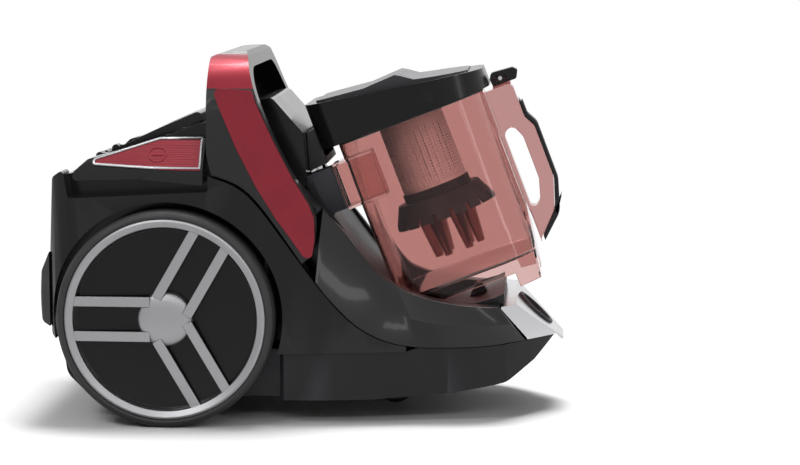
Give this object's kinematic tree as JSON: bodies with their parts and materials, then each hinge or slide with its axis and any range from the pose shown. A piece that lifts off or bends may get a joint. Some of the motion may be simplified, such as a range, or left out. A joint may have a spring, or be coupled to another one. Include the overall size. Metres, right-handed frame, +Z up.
{
  "type": "canister vacuum cleaner",
  "caption": "Low canister vacuum cleaner with large rear wheels, arched carry handle, foot pedals and a lift-out clear dust bin.",
  "frame": {"origin": "on the floor under the middle of the outline", "axes": "+X forward to the nose, +Y to the left, +Z up"},
  "size_m": [0.5069, 0.3, 0.357],
  "materials": {
    "black_gloss": "gloss",
    "black_satin": "satin",
    "grey_panel": "satin",
    "bright_trim": "satin",
    "red_gloss": "gloss",
    "clear_red": "gloss",
    "inner_plastic": "matte",
    "soft_rubber": "matte",
    "tyre": "matte",
    "steel": "brushed",
    "mesh_metal": "perforated",
    "alloy": "cast",
    "filter_felt": "felt",
    "board": "matte"
  },
  "bodies": {
    "base": {"floor_pan": "black_satin", "motor_deck": "black_gloss", "arch_cover_right": "black_gloss", "arch_cover_left": "black_gloss", "side_panel_right": "grey_panel", "side_panel_left": "grey_panel", "nose_cap": "bright_trim", "hose_socket": "inner_plastic", "carry_handle": "black_gloss", "handle_strip": "red_gloss", "filter_box": "black_gloss", "motor_filter": "filter_felt", "filter_seal": "soft_rubber", "motor_can": "steel", "fan_housing": "inner_plastic", "motor_mounts": "soft_rubber", "reel_frame": "inner_plastic", "cord_outlet": "soft_rubber", "inlet_duct": "inner_plastic", "duct_seal": "soft_rubber", "cradle": "black_satin", "bin_catch": "black_satin", "rear_bumper": "soft_rubber", "axle_right": "steel", "axle_left": "steel", "control_board": "board", "pan_screws": "steel"},
    "wheel_right": {"wheel_tyre_right": "tyre", "wheel_disc_right": "black_satin", "wheel_spokes_right": "bright_trim", "hub_cap_right": "bright_trim"},
    "wheel_left": {"wheel_tyre_left": "tyre", "wheel_disc_left": "black_satin", "wheel_spokes_left": "bright_trim", "hub_cap_left": "bright_trim"},
    "caster": {"caster_fork": "black_satin", "caster_axle": "steel"},
    "caster_roller": {"caster_wheel": "soft_rubber"},
    "power_pedal": {"power_pedal": "black_gloss", "power_pedal_face": "red_gloss"},
    "rewind_pedal": {"rewind_pedal": "black_gloss", "rewind_pedal_face": "red_gloss"},
    "exhaust_cover": {"top_cover": "black_gloss", "exhaust_filter": "filter_felt"},
    "rotor": {"motor_shaft": "steel", "fan_wheel": "alloy"},
    "reel": {"reel_drum": "inner_plastic", "reel_spring": "steel"},
    "bin": {"jar": "clear_red", "jar_handle": "clear_red", "handle_grip": "black_satin", "lever_pin": "steel"},
    "lever": {"release_lever": "black_gloss"},
    "lid": {"lid": "black_gloss", "lid_cover": "grey_panel", "lid_seal": "soft_rubber", "mesh_tube": "mesh_metal", "cyclone_cones": "red_gloss", "cyclone_plate": "inner_plastic", "dust_skirt": "inner_plastic"}
  },
  "joints": [
    {"name": "wheel_right_spin", "type": "hinge", "parent": "base", "child": "wheel_right", "pos_m": [-0.1295, -0.133, 0.1045], "axis": [0, 1, 0], "continuous": true},
    {"name": "wheel_left_spin", "type": "hinge", "parent": "base", "child": "wheel_left", "pos_m": [-0.1295, 0.133, 0.1045], "axis": [0, 1, 0], "continuous": true},
    {"name": "caster_swivel", "type": "hinge", "parent": "base", "child": "caster", "pos_m": [0.092, 0, 0.05], "axis": [0, 0, 1], "continuous": true},
    {"name": "caster_roll", "type": "hinge", "parent": "caster", "child": "caster_roller", "pos_m": [0.082, 0, 0.02], "axis": [0, 1, 0], "continuous": true},
    {"name": "power_pedal_press", "type": "hinge", "parent": "base", "child": "power_pedal", "pos_m": [-0.1, -0.121, 0.242], "axis": [0, -1, 0], "range_deg": [0, 4], "stiffness_Nm_per_rad": 8, "springref_deg": -5.73},
    {"name": "rewind_pedal_press", "type": "hinge", "parent": "base", "child": "rewind_pedal", "pos_m": [-0.1, 0.121, 0.242], "axis": [0, -1, 0], "range_deg": [0, 4], "stiffness_Nm_per_rad": 8, "springref_deg": -5.73},
    {"name": "exhaust_cover_open", "type": "hinge", "parent": "base", "child": "exhaust_cover", "pos_m": [-0.207, 0, 0.252], "axis": [0, -1, 0], "range_deg": [0, 75]},
    {"name": "fan_spin", "type": "hinge", "parent": "base", "child": "rotor", "pos_m": [-0.09, -0.038, 0.15], "axis": [1, 0, 0], "continuous": true},
    {"name": "reel_spin", "type": "hinge", "parent": "base", "child": "reel", "pos_m": [-0.132, 0.064, 0.15], "axis": [0, 1, 0], "continuous": true},
    {"name": "bin_slide", "type": "slide", "parent": "base", "child": "bin", "axis": [0.9336, 0, 0.3584], "range_m": [0, 0.16]},
    {"name": "lid_lift", "type": "slide", "parent": "bin", "child": "lid", "axis": [-0.3584, 0, 0.9336], "range_m": [0, 0.15]},
    {"name": "release_lever_press", "type": "hinge", "parent": "bin", "child": "lever", "pos_m": [0.18594, 0, 0.3277], "axis": [0, 1, 0], "range_deg": [0, 5], "stiffness_Nm_per_rad": 0.4, "springref_deg": -5.73}
  ]
}
